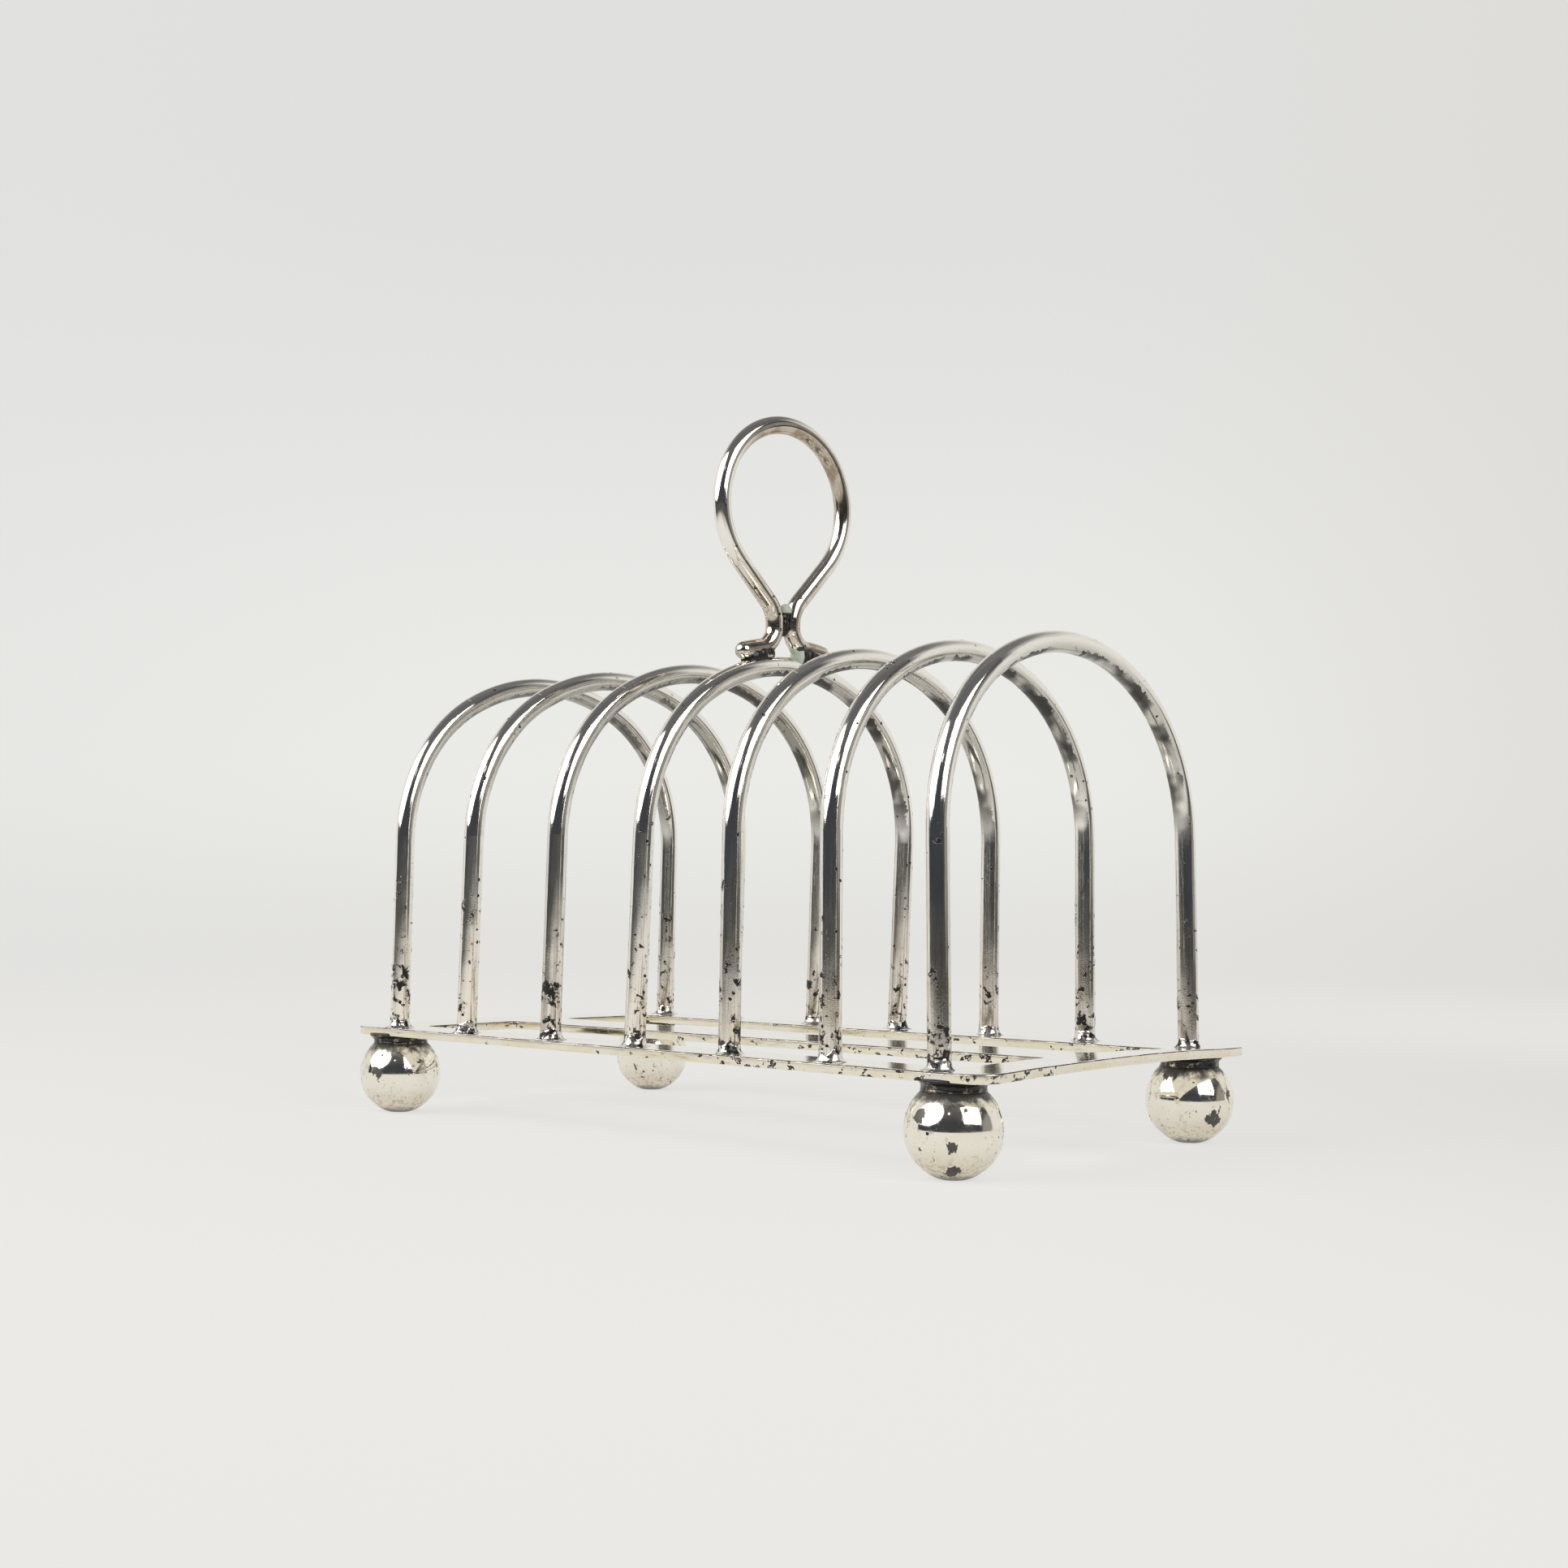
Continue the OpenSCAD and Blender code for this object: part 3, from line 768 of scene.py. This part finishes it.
def make_handle_solder():
    for seed, (side, part) in enumerate(((-1, "front"), (1, "back")), start=40):
        drops = []
        for step in range(FOOT_DROPS):
            angle = math.radians(FOOT_FIRST_DROP + step * FOOT_DROP_STEP)
            distance = FOOT_DROP_PATH - 0.12 * (step % 2)
            y, z = distance * math.sin(angle), distance * math.cos(angle) - CROWN_R / MM
            drops.append(((0, side * y, z), FOOT_DROP_R[step % len(FOOT_DROP_R)]))
        if side > 0:
            drops += VERDIGRIS_DROPS
        make_blob(part, drops, seed, share=0.30)
    make_blob("neck", NECK_DROPS, seed=43, share=0.2)


# How worn and shaded each hoop is: by how many mm the black climbs its front leg, how grey that
# leg is with painted dark reflection, and how black and how stained the inner side of its crown is
BASE_TARNISH = [1.6, 1.4, 1.8, 2.6, 2.0, 1.4, 1.8]
LEG_REFLECTION_GREY = [0.0, 0.0, 0.65, 0.10, 0.50, 0.40, 0.45]
INNER_BLACK = [0.6, 0.7, 0.8, 0.92, 0.92, 0.92, 0.92]
INNER_STAIN = [0.85, 0.85, 1.0, 0.75, 0.65, 0.65, 0.5]

# Black patches on the balls: the way each one faces, and about how many mm it reaches
BALL_PATCHES = {
    "back_right": [
        ((0.83, -0.41, -0.38), 1.5),
        ((0.978, 0.016, 0.2), 0.9),
        ((-0.03, -0.71, 0.70), 1.5),
    ],
    "front_right": [
        ((0.583, -0.773, -0.25), 0.6),
        ((0.40, -0.60, -0.75), 1.0),
        ((-0.11, -0.93, 0.36), 1.1),
    ],
    "front_left": [((0.30, -0.90, 0.10), 0.9)],
}

for k in range(1, HOOPS + 1):
    paint(nodes[f"hoop_{k}"], hoop_material(k))
    make_leg_solder(k)
paint(nodes["ring_handle"], handle_material())
make_plate()
for index, corner in enumerate(("front_left", "front_right", "back_left", "back_right")):
    paint(nodes[f"foot_{corner}"], ball_material(corner, 20.5 + 3 * index))
    make_ball_solder(corner, index)
make_handle_solder()


# Studio: pale floor that glows with painted light, pale backdrop behind the object with painted
# falloff of light, dark room in front, two softboxes

CAMERA_AZIMUTH = math.radians(41.75)
CAMERA_ELEVATION = math.radians(-3.06)
CAMERA_ROLL = math.radians(0.56)
CAMERA_AT = Vector((0.25665, -0.28592, 0.0424))
CAMERA_LENS = 47.6
TABLE_R = 0.85
FADE_FROM = 0.32
AIM = Vector((0, 0, 0.05))

# Colours of the floor and of the room, which shows mostly in the silver. The floor's glow near the
# object is painted light, darker to the right
FLOOR = (0.80, 0.795, 0.78, 1)
FLOOR_GLOW = (0.785, 0.78, 0.76)
NEAR_GLOW_LEFT = (0.835, 0.83, 0.81)
NEAR_GLOW_RIGHT = (0.745, 0.735, 0.71)
DARK_WALL = (0.050, 0.054, 0.064)
LIT_WALL = (0.30, 0.29, 0.27)
DARK_CEILING = (0.13, 0.13, 0.14)
BACKDROP = (0.80, 0.79, 0.765)
BACKDROP_CEILING = (0.17, 0.17, 0.175)
UNDER_TABLE = (0.09, 0.09, 0.09)

# Colours of the backdrop as the camera sees it, with painted falloff of light: darker at the horizon,
# the top and the sides
SEEN_HORIZON = (0.765, 0.76, 0.74)
SEEN_LOW = (0.83, 0.83, 0.805)
SEEN_HIGH = (0.745, 0.745, 0.735)
SEEN_RIGHT = (0.72, 0.71, 0.675)
SEEN_LEFT = (0.765, 0.765, 0.75)


def towards(azimuth, elevation):
    return Vector(
        (
            math.sin(azimuth) * math.cos(elevation),
            -math.cos(azimuth) * math.cos(elevation),
            math.sin(elevation),
        )
    )


def make_camera():
    back = towards(CAMERA_AZIMUTH, CAMERA_ELEVATION)
    right = Vector((math.cos(CAMERA_AZIMUTH), math.sin(CAMERA_AZIMUTH), 0))
    up = back.cross(right)
    rolled_right = math.cos(CAMERA_ROLL) * right + math.sin(CAMERA_ROLL) * up
    rolled_up = math.cos(CAMERA_ROLL) * up - math.sin(CAMERA_ROLL) * right
    data = bpy.data.cameras.new("camera")
    data.sensor_width = 36
    data.lens = CAMERA_LENS
    data.clip_start = 0.01
    camera = bpy.data.objects.new("camera", data)
    axes = Matrix((rolled_right, rolled_up, back)).transposed().to_4x4()
    camera.matrix_world = Matrix.Translation(CAMERA_AT) @ axes
    bpy.context.scene.collection.objects.link(camera)
    bpy.context.scene.camera = camera


def make_softbox(name, shape, azimuth, elevation, roll, width, height, watts, tint):
    """A light 1 m from the object, turned to it. Angles are in degrees."""
    data = bpy.data.lights.new(name, "AREA")
    data.shape = shape
    data.size, data.size_y = width, height
    data.energy = watts
    data.color = tint
    light = bpy.data.objects.new(name, data)
    direction = towards(math.radians(azimuth), math.radians(elevation))
    light.location = AIM + direction
    roll_turn = Euler((0, 0, math.radians(roll))).to_quaternion()
    light.rotation_mode = "QUATERNION"
    light.rotation_quaternion = direction.to_track_quat("Z", "Y") @ roll_turn
    light.visible_camera = False
    bpy.context.scene.collection.objects.link(light)


def make_disc(name, radius, material):
    mesh = bpy.data.meshes.new(name)
    build = bmesh.new()
    bmesh.ops.create_circle(build, cap_ends=True, segments=96, radius=radius)
    build.to_mesh(mesh)
    build.free()
    mesh.materials.append(material)
    disc = bpy.data.objects.new(name, mesh)
    bpy.context.scene.collection.objects.link(disc)


def make_floor():
    """The table top, mostly a glow of painted light that fills in its shadows and darkens to the
    right near the object. It fades into the backdrop, and ends there in reflections too.
    """
    g = material_graph("pale_floor")
    x, y, _ = g.split(g.coordinates)
    distance = length_of(g, x, y)
    far = g.ramp(distance, 0.14, 0.45)
    # Painted light: the floor's glow near the object, paler to the left and darker to the right
    right_x, right_y = math.cos(CAMERA_AZIMUTH), math.sin(CAMERA_AZIMUTH)
    across = g.math("ADD", g.math("MULTIPLY", x, right_x), g.math("MULTIPLY", y, right_y))
    falloff_to_right = g.math("MULTIPLY", g.ramp(across, 0.02, 0.24), g.math("SUBTRACT", 1.0, far))
    near_glow = g.mix(falloff_to_right, NEAR_GLOW_LEFT, NEAR_GLOW_RIGHT)
    diffuse = g.node("ShaderNodeBsdfDiffuse")
    diffuse.inputs["Color"].default_value = FLOOR
    glow = g.node("ShaderNodeEmission")
    g.put(glow.inputs["Color"], g.mix(far, near_glow, FLOOR_GLOW))
    # Painted light fills the shadows: near the object the floor is four fifths glow, far off all glow
    lit_and_glowing = g.node("ShaderNodeMixShader")
    g.put(lit_and_glowing.inputs[0], g.math("MULTIPLY_ADD", far, 0.2, 0.8))
    g.put(lit_and_glowing.inputs[1], diffuse.outputs[0])
    g.put(lit_and_glowing.inputs[2], glow.outputs[0])
    clear = g.node("ShaderNodeBsdfTransparent")
    faded = g.node("ShaderNodeMixShader")
    g.put(faded.inputs[0], g.ramp(distance, FADE_FROM, TABLE_R - 0.01))
    g.put(faded.inputs[1], lit_and_glowing.outputs[0])
    g.put(faded.inputs[2], clear.outputs[0])
    output = g.node("ShaderNodeOutputMaterial")
    g.put(output.inputs["Surface"], faded.outputs[0])
    make_disc("table", TABLE_R, g.owner)


def make_world():
    """The room: a dark wall and ceiling on the camera's side and a pale backdrop on the other."""
    world = bpy.data.worlds.new("studio")
    bpy.context.scene.world = world
    g = Graph(world)
    x, y, z = g.split(g.direction)
    behind = towards(CAMERA_AZIMUTH + math.pi, 0)
    depth = g.math("ADD", g.math("MULTIPLY", x, behind.x), g.math("MULTIPLY", y, behind.y))
    side = g.math("ADD", g.math("MULTIPLY", x, -behind.y), g.math("MULTIPLY", y, behind.x))
    side = g.math("MULTIPLY", side, -1.0)
    wall = g.mix(g.ramp(side, 0.86, 0.93), DARK_WALL, LIT_WALL)
    front = g.mix(g.ramp(z, 0.30, 0.90), wall, DARK_CEILING)
    backdrop = g.mix(g.ramp(z, 0.50, 0.85), BACKDROP, BACKDROP_CEILING)
    is_behind = g.ramp(depth, 0.02, 0.10)
    above = g.mix(is_behind, front, backdrop)
    below = g.mix(is_behind, UNDER_TABLE, FLOOR_GLOW)
    room = g.mix(g.ramp(z, -0.004, 0.0), below, above)

    # Painted falloff of light on the backdrop: darker at the horizon, towards the top, and to both
    # sides, most to the right
    seen = g.mix(g.ramp(z, 0.05, 0.34), SEEN_LOW, SEEN_HIGH)
    seen = g.mix(g.ramp(z, -0.03, 0.06), SEEN_HORIZON, seen)
    falloff_to_right = g.math("MULTIPLY", g.ramp(side, 0.10, 0.40), 0.75)
    seen = g.mix(falloff_to_right, seen, SEEN_RIGHT)
    falloff_to_left = g.math("MULTIPLY", g.ramp(side, -0.40, -0.12, 1.0, 0.0), 0.5)
    seen = g.mix(falloff_to_left, seen, SEEN_LEFT)

    ray = g.node("ShaderNodeLightPath").outputs["Is Camera Ray"]
    background = g.node("ShaderNodeBackground")
    g.put(background.inputs["Color"], g.mix(ray, room, seen))
    output = g.node("ShaderNodeOutputWorld")
    g.put(output.inputs["Surface"], background.outputs[0])


make_camera()
make_floor()
make_world()
make_softbox("softbox_left", "ELLIPSE", -25, 32, 12, 1.18, 0.92, 8.5, (1.0, 0.99, 0.97))
make_softbox("softbox_right", "RECTANGLE", 84, 31, -10, 0.72, 0.66, 5.2, (1.0, 0.99, 0.97))
make_softbox("lamp", "ELLIPSE", 27, 37, 0, 0.07, 0.07, 0.03, (1.0, 1.0, 1.0))
bpy.context.scene.view_settings.view_transform = "Standard"
